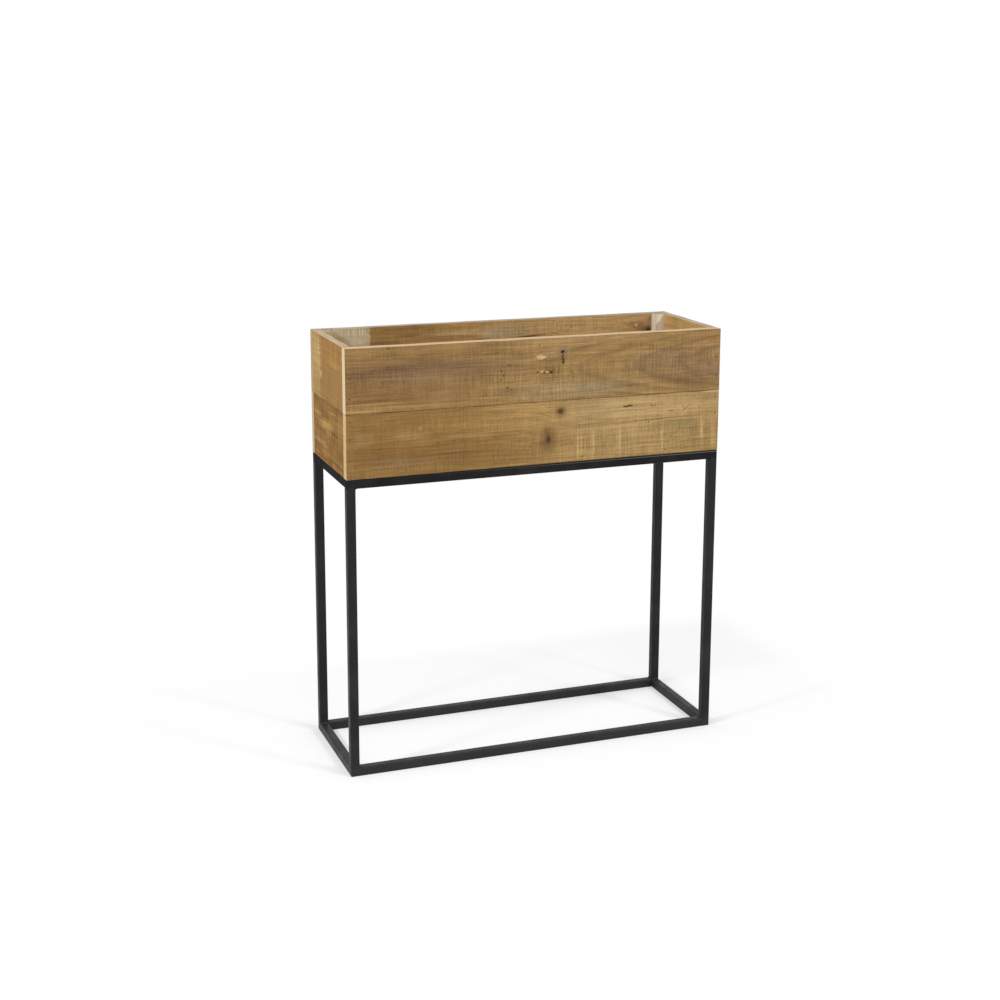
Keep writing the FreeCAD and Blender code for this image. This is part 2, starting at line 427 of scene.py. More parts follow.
def lay_out(tree, axes, seed):
    """A board's own places in millimetres: along, across and through it, and which way its skin faces."""
    metres = put(tree, "ShaderNodeTexCoord", out=3)
    scaled = put(tree, "ShaderNodeVectorMath", {0: metres, 3: 1 / MM}, operation="SCALE")
    split = tree.nodes.new("ShaderNodeSeparateXYZ")
    tree.links.new(scaled, split.inputs[0])
    facing = tree.nodes.new("ShaderNodeSeparateXYZ")
    tree.links.new(put(tree, "ShaderNodeNewGeometry", out=1), facing.inputs[0])
    along, across, through = (split.outputs[axis] for axis in axes)
    lay = SimpleNamespace(tree=tree, seed=seed, along=along, across=across, through=through)
    lay.place = put(tree, "ShaderNodeCombineXYZ", {0: along, 1: through, 2: across})
    lay.spot = spot(tree, along, across)
    lay.height = split.outputs[2]
    lay.to_end = facing.outputs[axes[0]]
    lay.to_face = facing.outputs[axes[2]]
    lay.up = facing.outputs[2]
    squarely = [calc(tree, "ABSOLUTE", output) for output in facing.outputs]
    lay.flatness = calc(tree, "MAXIMUM", calc(tree, "MAXIMUM", squarely[0], squarely[1]), squarely[2])
    return lay


def drawn(lay, length, width, shift, over_rings=None, detail=3.0, roughness=0.55):
    """Noise drawn out to marks of about this length along the board and this width across it."""
    tree = lay.tree
    across = lay.across if over_rings is None else over_rings
    inputs = {0: calc(tree, "DIVIDE", lay.along, length), 2: calc(tree, "DIVIDE", across, width)}
    return mottle(tree, put(tree, "ShaderNodeCombineXYZ", inputs), 1.0, detail, roughness, lay.seed + shift)


def nudge(tree, value, noise, amount):
    """A value moved by noise, up to about half the amount each way."""
    return calc(tree, "MULTIPLY_ADD", calc(tree, "SUBTRACT", noise, 0.5), amount, value)


def patch(tree, place, shape, soft):
    """An oval patch, 1 inside and 0 outside. Its shape is its middle, half length, half height and tilt."""
    at_along, at_across, half_along, half_across, tilt = shape
    inputs = {"Vector": place, "Location": (at_along, at_across, 0), "Rotation": (0, 0, math.radians(tilt))}
    inputs["Scale"] = (half_along, half_across, 1)
    within = put(tree, "ShaderNodeMapping", inputs, vector_type="TEXTURE")
    away = put(tree, "ShaderNodeVectorMath", {0: within}, out=1, operation="LENGTH")
    return fade(tree, away, 1 + soft, 1 - soft)


def log_rings(lay, heart, taper, wander, knots, ring):
    """How far each point lies from the log's heart. The log leans to the heart left and right of a place."""
    tree = lay.tree
    lean_from, lean_left, lean_right = taper
    offset = calc(tree, "SUBTRACT", lay.along, lean_from)
    before = calc(tree, "SMOOTH_MIN", offset, 0.0, 60.0)
    beyond = calc(tree, "SMOOTH_MAX", offset, 0.0, 60.0)
    centre = calc(tree, "MULTIPLY_ADD", before, -lean_left, heart[0])
    centre = calc(tree, "MULTIPLY_ADD", beyond, -lean_right, centre)
    behind = calc(tree, "SUBTRACT", centre, lay.through)
    aside = calc(tree, "SUBTRACT", lay.across, heart[1])
    squared = calc(tree, "MULTIPLY_ADD", aside, aside, times(tree, behind, behind))
    reach = nudge(tree, calc(tree, "SQRT", squared), drawn(lay, 190, 60, 0), wander)
    reach = nudge(tree, reach, drawn(lay, 45, 16, 3), 0.25 * wander)
    for at_along, at_across, _, halo, _ in knots:
        swell = patch(tree, lay.spot, (at_along, at_across, 3.5 * halo, 1.6 * halo, 0), 0.98)
        reach = calc(tree, "MULTIPLY_ADD", swell, 1.6 * ring, reach)
    return reach


def late_wood(lay, reach, ring, ring_luck, ring_from):
    """The dark late wood of each ring, stronger in some rings than in others, and a fine line beside it."""
    tree = lay.tree
    turns = calc(tree, "DIVIDE", reach, ring)
    season = calc(tree, "FRACT", turns)
    luck = put(tree, "ShaderNodeTexWhiteNoise", {"W": calc(tree, "FLOOR", turns)}, noise_dimensions="1D")
    late = times(tree, fade(tree, season, 0.45, 0.88), fade(tree, season, 1.0, 0.88))
    late = times(tree, late, fade(tree, luck, 0.2, 1.0, ring_luck, 1.0))
    thin = calc(tree, "PINGPONG", nudge(tree, turns, drawn(lay, 80, 30, 5), 1.2), 0.11)
    if ring_from:
        shown = fade(tree, lay.along, *ring_from)
        late = times(tree, late, shown)
        thin = times(tree, thin, fade(tree, shown, 0.0, 1.0, 0.4, 1.0))
    return late, thin


def saw_lines(lay, saw, sawn_at):
    """Saw marks, which stand across the grain in patches, strongest in the places named."""
    tree = lay.tree
    feed = nudge(tree, lay.along, drawn(lay, 40, 60, 19), 14.0)
    tooth = calc(tree, "SINE", times(tree, feed, math.tau / SAW_PITCH))
    kerf = drawn(lay, 3.4, 40, 23, None, 3.0, 0.65)
    sawn = fade(tree, drawn(lay, 95, 38, 31), 0.38, 0.6, 0.15, 0.8)
    for shape in sawn_at:
        sawn = calc(tree, "MAXIMUM", sawn, patch(tree, lay.spot, shape, 0.6))
    lines = nudge(tree, times(tree, tooth, 0.05), kerf, 1.0)
    return times(tree, lines, times(tree, sawn, saw))


def add_grain(lay, reach, wander):
    """Adds the board's noises: fibres run along its log, bands follow the rings, and the rest do neither."""
    tree = lay.tree
    leaning = calc(tree, "MULTIPLY_ADD", lay.through, 0.7, lay.across)
    flow = nudge(tree, leaning, drawn(lay, 190, 60, 0), 2 * wander)
    lay.cloud = drawn(lay, 110, 42, 7, nudge(tree, lay.across, drawn(lay, 60, 60, 9), 60))
    lay.band = drawn(lay, 260, 5.5, 11, reach)
    lay.fibre = drawn(lay, 120, 3.0, 47, flow, 2.0)
    lay.streak = drawn(lay, 60, 1.5, 13, flow, 4.0)
    lay.hair = drawn(lay, 12, 0.4, 17, flow)
    lay.sweep = drawn(lay, 22, 120, 29, None, 2.0)
    lay.grit = drawn(lay, 7, 3.0, 53, None, 2.0)
    lay.chatter = mottle(tree, lay.place, 0.4, 2.0, 0.6, lay.seed + 37)
    lay.rough_along = nudge(tree, lay.along, lay.chatter, 1.6)
    lay.rough_across = nudge(tree, lay.across, mottle(tree, lay.place, 0.4, 2.0, 0.6, lay.seed + 41), 1.6)
    lay.rough_spot = spot(tree, lay.rough_along, lay.rough_across)


def wood_tone(lay, thin, saw_marks, figure, fine, saw):
    """How light the wood is: its noises, less the fine line of each ring, and its saw marks."""
    tree = lay.tree
    tone = nudge(tree, MIDDLE_TONE, lay.cloud, 0.55)
    strengths = [
        (lay.band, 0.6 * figure),
        (lay.fibre, 1.0 * figure),
        (lay.streak, 0.95 * fine),
        (lay.hair, 0.45 * fine),
        (lay.grit, 0.5),
        (lay.sweep, 0.3 * saw),
    ]
    for noise, amount in strengths:
        tone = nudge(tree, tone, noise, amount)
    return calc(tree, "ADD", calc(tree, "MULTIPLY_ADD", thin, -0.5 * fine, tone), saw_marks)


def toned(tree, tone, codes):
    """A tone from dark to light through evenly spaced colours."""
    ramp = tree.nodes.new("ShaderNodeValToRGB")
    tree.links.new(tone, ramp.inputs[0])
    steps = ramp.color_ramp.elements
    steps[0].color, steps[1].color = card(codes[0]), card(codes[-1])
    for number, code in enumerate(codes[1:-1], 1):
        steps.new(number / (len(codes) - 1)).color = card(code)
    return ramp.outputs[0]


def weathered(lay, colour, tone, on_face, bands, stains):
    """Weathered and stained stretches over a colour, which keep the fibres' light and dark."""
    tree = lay.tree
    grey = fade(tree, tone, 0.1, 0.9, 0.68, 1.3)
    fibre_light = put(tree, "ShaderNodeCombineColor", {0: grey, 1: grey, 2: grey})
    ragged = nudge(tree, nudge(tree, lay.across, lay.streak, 16.0), lay.band, 20.0)
    ragged_spot = spot(tree, lay.along, ragged)
    stretches = []
    for start, end, code, strength, jag in bands:
        edge = nudge(tree, lay.along, drawn(lay, 26, 6, 59, None, 4.0), jag)
        inside = times(tree, fade(tree, edge, start - 1, start + 1), fade(tree, edge, end + 1, end - 1))
        stretches.append((inside, code, strength))
    for shape, code, strength in stains:
        stretches.append((patch(tree, ragged_spot, shape, 0.75), code, strength))
    for inside, code, strength in stretches:
        stained = over(tree, 1.0, card(code), fibre_light, "MULTIPLY")
        colour = over(tree, times(tree, inside, on_face, strength), colour, stained)
    return colour


def worn(lay, colour, joint_dirt_and_shade):
    """Arrises rubbed pale, and dirt with painted shade in the closed joints."""
    tree = lay.tree
    pale_arris = times(tree, fade(tree, lay.flatness, 0.985, 0.8), fade(tree, lay.chatter, 0.35, 0.6, 0.05, 0.4))
    colour = over(tree, pale_arris, colour, card(WORN_ARRIS))
    # Dirt and painted shade: the arris halves that turn into a closed joint are darkened below the rim.
    if joint_dirt_and_shade:
        turned_in = fade(tree, calc(tree, "ABSOLUTE", lay.up), 0.1, 0.5, 0.0, joint_dirt_and_shade)
        below_rim = fade(tree, lay.height, RIM_STARTS[1], RIM_STARTS[0])
        uneven = fade(tree, drawn(lay, 55, 60, 61), 0.3, 0.6, 0.45, 1.0)
        colour = over(tree, times(tree, turned_in, below_rim, uneven), colour, card(JOINT_DIRT_AND_SHADE))
    return colour


def knotted(lay, colour, knots):
    """The brown halo and the dark eye of each knot."""
    tree = lay.tree
    knot_spot = spot(tree, lay.rough_along, nudge(tree, lay.rough_across, lay.streak, 9.0))
    for at_along, at_across, eye, halo, tall in knots:
        brown = patch(tree, knot_spot, (at_along, at_across, halo, halo * tall, 0), 0.97)
        colour = over(tree, times(tree, brown, HALO_SHARE), colour, card(KNOT_HALO))
        dark = patch(tree, lay.rough_spot, (at_along, at_across, eye, eye * tall, 0), 0.75)
        colour = over(tree, times(tree, dark, EYE_SHARE), colour, card(KNOT_EYE))
    return colour


def scarred(lay, colour, on_face, nails, marks):
    """Specks of dirt, the stain round each nail, and dents, cracks, chips and painted shadow lines."""
    tree = lay.tree
    cells = {"Vector": lay.place, "Scale": 1 / SPECKS_APART}
    speck = put(tree, "ShaderNodeTexVoronoi", cells, out=0)
    pick = put(tree, "ShaderNodeTexVoronoi", cells, out=1)
    dirt = times(tree, fade(tree, speck, 0.12, 0.05), fade(tree, pick, 0.6, 0.8, 0.0, 0.55))
    colour = over(tree, dirt, colour, card(SPECK))
    for at_along, at_across in nails:
        shape = (at_along, at_across, NAIL_STAIN_REACH, NAIL_STAIN_REACH, 0)
        stain = patch(tree, lay.rough_spot, shape, 0.7)
        colour = over(tree, times(tree, stain, NAIL_STAIN_SHARE), colour, card(NAIL_STAIN))
    for shape, code, strength in marks:
        share = times(tree, patch(tree, lay.rough_spot, shape, 0.45), on_face, strength)
        colour = over(tree, share, colour, card(code))
    return colour


def end_grain(lay, colour, late, pale, dark):
    """The sawn ends, paler, with rings and pores."""
    tree = lay.tree
    pores = fade(tree, mottle(tree, lay.place, 0.9, 3.0, 0.7, lay.seed + 43), 0.35, 0.75, 0.0, 0.4)
    sawn = over(tree, times(tree, late, 0.7), card(pale), card(dark))
    sawn = over(tree, pores, sawn, card(dark))
    return over(tree, fade(tree, calc(tree, "ABSOLUTE", lay.to_end), 0.55, 0.8), colour, sawn)


def rim_grain(lay, colour, pale, dark):
    """The rim, paler, with streaks along it."""
    tree = lay.tree
    streaked = over(tree, fade(tree, lay.streak, 0.3, 0.7, 0.0, 0.9), card(pale), card(dark))
    on_rim = times(tree, fade(tree, lay.up, 0.5, 0.75), fade(tree, lay.height, *RIM_STARTS))
    return over(tree, on_rim, colour, streaked)


def old_pine(name, axes, heart, ring, tones, ring_tone, seed, taper=(0.0, 0.0, 0.0), wander=6.0,
             ring_luck=0.1, ring_from=None, late_share=0.5, figure=1.0, fine=1.0, saw=1.0, sawn_at=(),
             bands=(), stains=(), knots=(), nails=(), marks=(), marked_face=None, joint_dirt_and_shade=0.8,
             ends=None, rim=None):
    """Oiled old pine. Places and sizes are millimetres on the board.

    heart is the log's heart, its place through and across the board, and ring the width of its rings.
    taper is where the log begins to lean and how much to each side, and wander how far the grain strays.
    ring_luck is the strength of the weakest ring, ring_from the stretch over which the rings begin to
    show, and late_share the strength of their dark wood. figure, fine and saw are the strength of the
    broad fibres, of the fine ones and of the saw marks, which are plainest in the places of sawn_at.
    Bands are weathered stretches with a plain edge, stains are oval ones, and marks are dents, cracks,
    chips and painted shadow lines. A knot is its place, its eye, its halo and how much taller than
    wide it is. marked_face, -1 or 1, keeps the bands, stains and marks to one face.
    joint_dirt_and_shade darkens the closed joints with dirt and painted shade, and ends and rim are
    each the pale and the dark of cut wood."""
    material, tree, shader = new_finish(name)
    lay = lay_out(tree, axes, seed)
    reach = log_rings(lay, heart, taper, wander, knots, ring)
    late, thin = late_wood(lay, reach, ring, ring_luck, ring_from)
    add_grain(lay, reach, wander)
    saw_marks = saw_lines(lay, saw, sawn_at)
    tone = wood_tone(lay, thin, saw_marks, figure, fine, saw)

    on_face = 1.0 if marked_face is None else fade(tree, lay.to_face, 0.3 * marked_face, 0.7 * marked_face)
    colour = over(tree, times(tree, late, late_share), toned(tree, tone, tones), card(ring_tone))
    colour = weathered(lay, colour, tone, on_face, bands, stains)
    colour = worn(lay, colour, joint_dirt_and_shade)
    colour = knotted(lay, colour, knots)
    colour = scarred(lay, colour, on_face, nails, marks)
    if ends:
        colour = end_grain(lay, colour, late, *ends)
    if rim:
        colour = rim_grain(lay, colour, *rim)
    tree.links.new(colour, shader.inputs["Base Color"])

    relief = calc(tree, "MULTIPLY_ADD", lay.streak, 0.5, times(tree, lay.hair, 0.4))
    relief = calc(tree, "MULTIPLY_ADD", lay.fibre, 0.5, relief)
    relief = calc(tree, "MULTIPLY_ADD", saw_marks, 1.6, relief)
    raised = {"Strength": GRAIN_STRENGTH, "Distance": GRAIN_DEPTH, "Height": relief}
    tree.links.new(put(tree, "ShaderNodeBump", raised), shader.inputs["Normal"])
    tree.links.new(fade(tree, lay.streak, 0.25, 0.75, 0.66, 0.84), shader.inputs["Roughness"])
    shader.inputs["Specular IOR Level"].default_value = PINE_SHINE
    return material


def nail_dimples(nails, side):
    """A small hollow over each nail head."""
    return [(side, at_along, at_across, *NAIL_DIMPLE) for at_along, at_across in nails]


HONEY = ("5e452a", "806339", "8e7043", "9b7c4e", "b69869")
GOLD = ("563c20", "7b5c2f", "866838", "917140", "ab8b5c")
PURPLE_BROWN = "654d38"
BROWN_RING = "6a4d2c"
HOLE = "201812"
CRACK = "2e2114"
FRESH = "ccac7c"
SAW_PALE = "bc9c6a"

front_lower_stains = [
    ((200, 622, 190, 34, 0), "a98c5e", 0.9),
    ((195, 563, 185, 34, 0), "9b7f51", 0.85),
    ((-35, 624, 80, 30, 0), "a2824f", 0.75),
    ((-235, 567, 100, 9, 0), "664b2b", 0.65),
    ((-235, 595, 170, 55, 0), "7a582c", 0.5),
    ((-240, 604, 30, 6, 0), "a78a5e", 0.35),
    ((-318, 603, 16, 10, 0), "a4865c", 0.3),
    ((-300, 582, 30, 9, 0), "755326", 0.5),
    ((-250, 558, 45, 8, 0), "7c6448", 0.5),
    ((-140, 596, 40, 4, 0), "ac8c58", 0.4),
    ((137, 629, 58, 11, 0), "98845c", 0.55),
    ((163, 592, 70, 50, 0), "9b8054", 0.45),
    ((13, 592, 4, 9, 12), "5e4125", 0.5),
    ((4, 572, 11, 4, 0), "6e5030", 0.45),
    ((268, 592, 36, 7, 0), "84734c", 0.6),
    ((72.5, 567, 2.2, 24, 0), SAW_PALE, 0.5),
    ((79, 570, 1.8, 20, 0), SAW_PALE, 0.45),
    ((102, 565, 2.5, 22, 0), SAW_PALE, 0.5),
    ((153.5, 570, 2.5, 26, 0), SAW_PALE, 0.55),
    ((237.5, 565, 2.5, 25, 0), SAW_PALE, 0.5),
    ((317, 570, 4, 24, 0), SAW_PALE, 0.5),
    ((340, 565, 5, 26, 0), SAW_PALE, 0.5),
]
front_lower_knots = [(39.0, 628.0, 5.4, 10.0, 0.85), (16.5, 579.0, 4.0, 13.0, 1.5)]
front_lower_marks = [
    ((164, 628.5, 5, 1.1, -10), CRACK, 0.85),
    ((172.5, 629.5, 6, 1.4, 6), CRACK, 0.85),
    ((214.5, 627.5, 1.2, 2.6, 20), "6a4026", 0.7),
    ((222, 627.5, 1.1, 2.4, -20), "6a4026", 0.7),
    ((218, 626, 4, 0.9, 0), "6a4026", 0.5),
    ((255, 615, 5, 0.9, -5), CRACK, 0.6),
    ((282.5, 618, 9.4, 0.8, 37.5), "5a4026", 0.75),
    ((279, 620, 5.3, 0.8, -70.7), "5a4026", 0.7),
    ((328, 577, 4, 1.1, 35), "6a4a2a", 0.6),
    ((322, 575, 1.2, 3.0, 0), "6a4a2a", 0.5),
    ((300, 556, 5, 0.9, 50), "6e4e2c", 0.5),
    ((336, 645.6, 20, 1.1, 0), "d0b488", 0.55),
    ((-300, 614, 45, 1.0, 1), "735430", 0.45),
    ((210, 597.5, 1.4, 1.2, 0), CRACK, 0.7),
    ((-187.5, 587.5, 4, 4, 0), "6c4a28", 0.45),
    ((-219, 616, 3, 4, 0), "b08a50", 0.4),
    ((205, 601, 150, 1.1, 1.5), "70552f", 0.55),
    ((-90, 599, 85, 1.0, 0), "765731", 0.45),
    ((-77, 634.5, 75, 1.1, -4.3), "745631", 0.5),
    ((7, 625, 14, 1.1, -20), "745631", 0.5),
    ((-3.5, 572, 1, 30, 0), "a08050", 0.45),
    # A painted shadow line along the bottom arris, where the plank sits on the top ring.
    ((110, 535.4, 330, 1.3, 0), CRACK, 0.8),
]
front_lower_nails = nails_in("front_plank_lower", LONG_AXES, FRONT)
front_lower_hollows = [
    (FRONT, 39, 628, 3.6, 3.6, 0.6),
    (FRONT, 16.5, 579, 3.2, 3.2, 0.5),
    (FRONT, 164, 628.5, 4.5, 1.0, 0.7),
    (FRONT, 172.5, 629.5, 5.5, 1.2, 0.9),
]
front_lower_hollows += nail_dimples(front_lower_nails, FRONT)
front_lower = board_mesh("front_plank_lower", LONG_AXES, seed=11, hollows=front_lower_hollows)
front_lower.data.materials.append(old_pine(
    "front_lower_pine", LONG_AXES, heart=(-60.0, 455.0), ring=8.0, tones=GOLD, ring_tone=BROWN_RING,
    seed=1.0, saw=1.1, sawn_at=[(200, 570, 170, 40, 0)], stains=front_lower_stains,
    knots=front_lower_knots, nails=front_lower_nails, marks=front_lower_marks, ends=("c4a97c", "a68959")))

front_upper_stains = [
    ((-215, 735, 200, 34, 0), "7c5d36", 0.6),
    ((-215, 712, 180, 20, 0), "6c543a", 0.65),
    ((-265, 719, 110, 5, 4), "644c34", 0.6),
    ((-117, 720, 75, 6, -4), "6c543c", 0.55),
    ((-225, 703, 60, 7, 0), "7e684c", 0.55),
    ((-265, 676, 150, 22, 0), "735430", 0.7),
    ((45, 667, 110, 14, 0), "927c5a", 0.55),
    ((105, 662, 50, 8, 0), "867456", 0.5),
    ((60, 752, 130, 9, 0), "a6865a", 0.45),
    ((42, 735, 13, 5, 0), "786852", 0.7),
    ((225, 705, 60, 24, 0), "826a49", 0.55),
    ((312, 690, 60, 28, 0), "765b3e", 0.65),
    ((340, 683, 14, 8, 0), "6e5a46", 0.6),
    ((320, 748, 50, 12, 0), "886440", 0.5),
    ((272, 708, 8, 10, 0), "66503a", 0.5),
    ((307, 720, 38, 5, 13), "6a523a", 0.5),
    ((300, 682, 30, 6, -34), "6a4e36", 0.5),
    ((262, 668, 48, 5, -12), "6c4e30", 0.5),
]
front_upper_marks = [
    ((42.5, 733.5, 3.4, 1.9, 0), HOLE, 0.92),
    ((41.8, 725, 2.3, 4.2, 0), CRACK, 0.92),
    ((43, 717.5, 2.5, 5.6, 0), CRACK, 0.92),
    ((-5, 725.5, 3.4, 1.6, -20), "b99868", 0.6),
    ((0, 728, 7, 2.6, 0), FRESH, 0.8),
    ((5, 725.5, 6.5, 2.4, 12), FRESH, 0.8),
    ((8.5, 722.6, 5, 0.9, 8), "5e4226", 0.7),
    ((3, 701, 3, 1.6, 0), FRESH, 0.7),
    ((12.5, 700, 3, 1.6, 0), FRESH, 0.6),
    ((-5, 700, 1.8, 1.4, 0), CRACK, 0.85),
    ((7.5, 699, 1.6, 1.6, 0), CRACK, 0.85),
    ((21, 699, 2.8, 2.2, 0), CRACK, 0.9),
    ((-1.5, 747.5, 1.4, 1.3, 0), CRACK, 0.8),
    ((-57.5, 715, 4, 1.6, 0), CRACK, 0.6),
    ((-72, 706, 1.4, 1.7, 0), CRACK, 0.75),
    ((-68, 698, 1.5, 1.9, 0), CRACK, 0.75),
    ((-73, 691, 1.3, 1.6, 0), CRACK, 0.7),
    ((-61, 676.5, 2.4, 2.0, 0), "523216", 0.8),
    ((59, 696.5, 1.7, 1.4, 0), CRACK, 0.7),
    ((-274, 756, 3.5, 1.3, 0), CRACK, 0.6),
    ((-300, 663, 60, 1.6, 0.5), "ac8850", 0.5),
    ((-235, 656, 90, 1.3, -0.4), "a8854e", 0.5),
    ((-330, 651.5, 40, 1.6, 0), "b08c58", 0.6),
    ((95, 668, 60, 0.8, 0), "ac9c80", 0.34),
    ((60, 674, 70, 0.7, 0.5), "a8987c", 0.3),
    ((110, 659, 55, 0.8, -0.3), "b0a084", 0.34),
    ((-10, 678, 50, 0.7, 0), "a8967a", 0.4),
]
front_upper_nails = nails_in("front_plank_upper", LONG_AXES, FRONT)
front_upper_hollows = [
    (FRONT, 42.5, 733.5, 3.5, 2.2, 4.0),
    (FRONT, 41.8, 725, 0.9, 2.8, 1.2),
    (FRONT, 43, 717.5, 1.0, 4.2, 1.2),
    (FRONT, 0, 728, 6.6, 2.6, 1.0),
    (FRONT, 5, 725.5, 6.0, 2.4, 1.1),
    (FRONT, -5, 700, 1.8, 1.4, 0.8),
    (FRONT, 7.5, 699, 1.6, 1.6, 0.8),
    (FRONT, 21, 699, 2.8, 2.2, 1.1),
    (FRONT, -70, 700, 3.5, 6.0, 0.5),
]
front_upper_hollows += nail_dimples(front_upper_nails, FRONT)
front_upper = board_mesh("front_plank_upper", LONG_AXES, seed=12, hollows=front_upper_hollows)
front_upper.data.materials.append(old_pine(
    "front_upper_pine", LONG_AXES, heart=(0.85, 702.0), ring=6.0, tones=HONEY, ring_tone=PURPLE_BROWN,
    seed=2.0, taper=(0.0, 0.004, 0.06), wander=4.0, ring_luck=0.6, ring_from=(10.0, 85.0),
    late_share=0.62, figure=1.15, fine=1.15, saw=1.3,
    sawn_at=[(-10, 690, 150, 50, 0), (260, 705, 120, 50, 0)], stains=front_upper_stains,
    nails=front_upper_nails, marks=front_upper_marks, ends=("d2bb98", "b89e74"), rim=("d4ba94", "ba9e76")))

# Rear planks: two planks of the same old pine, 15 mm thick.
# The upper one shows inside the box: pale and saw-marked at the left, with a knot near the right end.
REAR_TONES = ("664828", "8a6838", "9c7844", "ac8850", "c6a670")
rear_upper_bands = [(-318.0, -243.0, "bcab8b", 0.92, 12.0)]
rear_upper_stains = [
    ((-175, 745, 65, 34, 0), "7e5e36", 0.4),
    ((190, 745, 200, 40, 0), "b69363", 0.85),
    ((-80, 741, 62, 3, 0), "bc9e70", 0.7),
    ((18, 739, 46, 10, 0), "b29c76", 0.65),
    ((-7, 733, 11, 6, 0), "8c8068", 0.5),
    ((-215, 730, 28, 4, 0), "6c4c30", 0.6),
    ((62, 726, 30, 3, 4), "6a4a26", 0.6),
    # Dark wood round the knot, with painted shade where the plank meets the rear right corner block.
    ((303, 731, 20, 9, -18), "6a4526", 0.7),
    ((283, 739, 20, 4, 0), "86603a", 0.5),
]
rear_upper_marks = [((at, 752, 0.9, 7, 0), "e2d8bc", 0.7) for at in (-283.5, -274, -262.5, -257)]
rear_upper_marks += [((at, 750, 0.7, 8, 0), "d8ccac", 0.4) for at in (-296, -290, -269.5, -252)]
rear_upper_marks += [
    ((285, 738, 3.2, 1.3, 0), "e4d6ba", 0.7),
    ((296, 741, 7, 1.4, -25), "a0603e", 0.5),
    ((276, 742, 12, 0.8, 15), "6a4828", 0.5),
    ((276, 735, 12, 0.8, -15), "6a4828", 0.5),
    # A painted shadow strip on the inside face, beside the rear left corner block.
    ((-315.5, 740, 2.0, 40, 0), "4a3420", 0.75),
    ((66, 728, 24, 0.9, 5), "4a3218", 0.7),
    ((46, 722, 14, 1.3, 0), "3a2814", 0.65),
    ((-26, 727, 13, 1.0, -3), "56381c", 0.6),
    ((118, 731, 10, 0.8, -6), "5a3c1e", 0.6),
    ((150, 741, 2.0, 1.4, 0), "4a3218", 0.6),
]
rear_boards = {
    "rear_plank_lower": dict(seed=3.0, heart=(20.0, 690.0), ends=("bea88a", "9a8464")),
    "rear_plank_upper": dict(
        seed=4.0, heart=(20.0, 720.0), bands=rear_upper_bands, stains=rear_upper_stains,
        knots=[(310.0, 728.0, 3.4, 8.0, 0.8)], marks=rear_upper_marks, marked_face=FRONT,
        ends=("ab9470", "8c7654"), rim=("b2a692", "8c8070")),
}
for number, (node, details) in enumerate(rear_boards.items()):
    nails = nails_in(node, LONG_AXES, REAR)
    board = board_mesh(node, LONG_AXES, seed=13 + number, hollows=nail_dimples(nails, REAR))
    board.data.materials.append(old_pine(
        node + "_pine", LONG_AXES, ring=7.0, tones=REAR_TONES, ring_tone=PURPLE_BROWN,
        taper=(0.0, 0.02, 0.03), nails=nails, **details))

# End planks: short planks of old pine, 15 mm thick, butted between the long ones and nailed.
# The left end is plain to see: reddish and golden, with a paler stretch at the rear of its upper plank.
END_AXES = (1, 2, 0)
LEFT = -1
RIGHT = 1
HONEY_END = ("684824", "846230", "8d6935", "95713b", "a8854f")
BROWN_END = ("462b10", "6a481b", "7b5722", "8a6228", "a6813c")
BRIGHT_END = ("8e6d3f", "ae8b51", "c29d62", "d2b070", "e4c890")
left_upper_stains = [
    ((-10, 743, 40, 8, 0), "9c6c36", 0.45),
    ((-40, 722, 50, 8, 0), "a27c3c", 0.5),
    ((0, 690, 60, 14, 0), "8c6c38", 0.45),
    ((45, 690, 6, 6, 0), "bc9c6a", 0.6),
    ((76, 730, 30, 34, 0), "ae9260", 0.7),
]
left_lower_stains = [
    ((26, 637, 55, 12, 0), "86602f", 0.6),
    ((14, 605, 44, 8, -4), "b4924c", 0.7),
    ((3, 594, 6, 11, 0), "ae8c48", 0.6),
    ((-14, 592, 4, 12, 0), "aa8646", 0.6),
    ((-28, 588, 3, 13, 0), "6e4a24", 0.5),
    ((76, 616, 22, 9, 0), "aa8a48", 0.6),
    ((26, 580, 40, 13, 0), "7e5a34", 0.6),
    ((54, 566, 42, 5, 0), "aa884a", 0.7),
    ((-48, 619, 11, 9, 30), "98683a", 0.45),
    ((-80, 612, 18, 24, 0), "a4803f", 0.5),
    ((-80, 568, 16, 8, 0), "6e4c28", 0.55),
    ((-10, 553, 70, 5, 0), "a07a3c", 0.5),
    ((75, 544, 11, 2.5, 0), "a8743c", 0.5),
    ((20, 548, 9, 2.5, 0), "a8683a", 0.55),
    ((-35, 541, 14, 2.5, 0), "a86e3a", 0.5),
]
end_boards = {
    "left_end_plank_lower": (LEFT, dict(
        tones=BROWN_END, seed=5.0, wander=15.0, late_share=0.12, figure=1.3, fine=1.1, saw=2.4,
        stains=left_lower_stains, joint_dirt_and_shade=0.25)),
    "left_end_plank_upper": (LEFT, dict(
        tones=HONEY_END, seed=6.0, wander=14.0, late_share=0.08, figure=0.8, fine=0.5, saw=1.8,
        bands=[(52.0, 110.0, "a2844f", 0.75, 3.0)], stains=left_upper_stains, joint_dirt_and_shade=0.25,
        rim=("c4ae90", "a48f6e"))),
    "right_end_plank_lower": (RIGHT, dict(tones=BROWN_END, seed=7.0, wander=16.0)),
    "right_end_plank_upper": (RIGHT, dict(
        tones=BRIGHT_END, seed=8.0, wander=12.0, rim=("b8aa94", "9c8a70"))),
}
for number, (node, (side, details)) in enumerate(end_boards.items()):
    nails = nails_in(node, END_AXES, side)
    board = board_mesh(node, END_AXES, seed=20 + number, hollows=nail_dimples(nails, side), butted=True)
    board.data.materials.append(old_pine(
        node + "_pine", END_AXES, heart=(-260.0, 560.0), ring=7.0, ring_tone=BROWN_RING, nails=nails,
        **details))

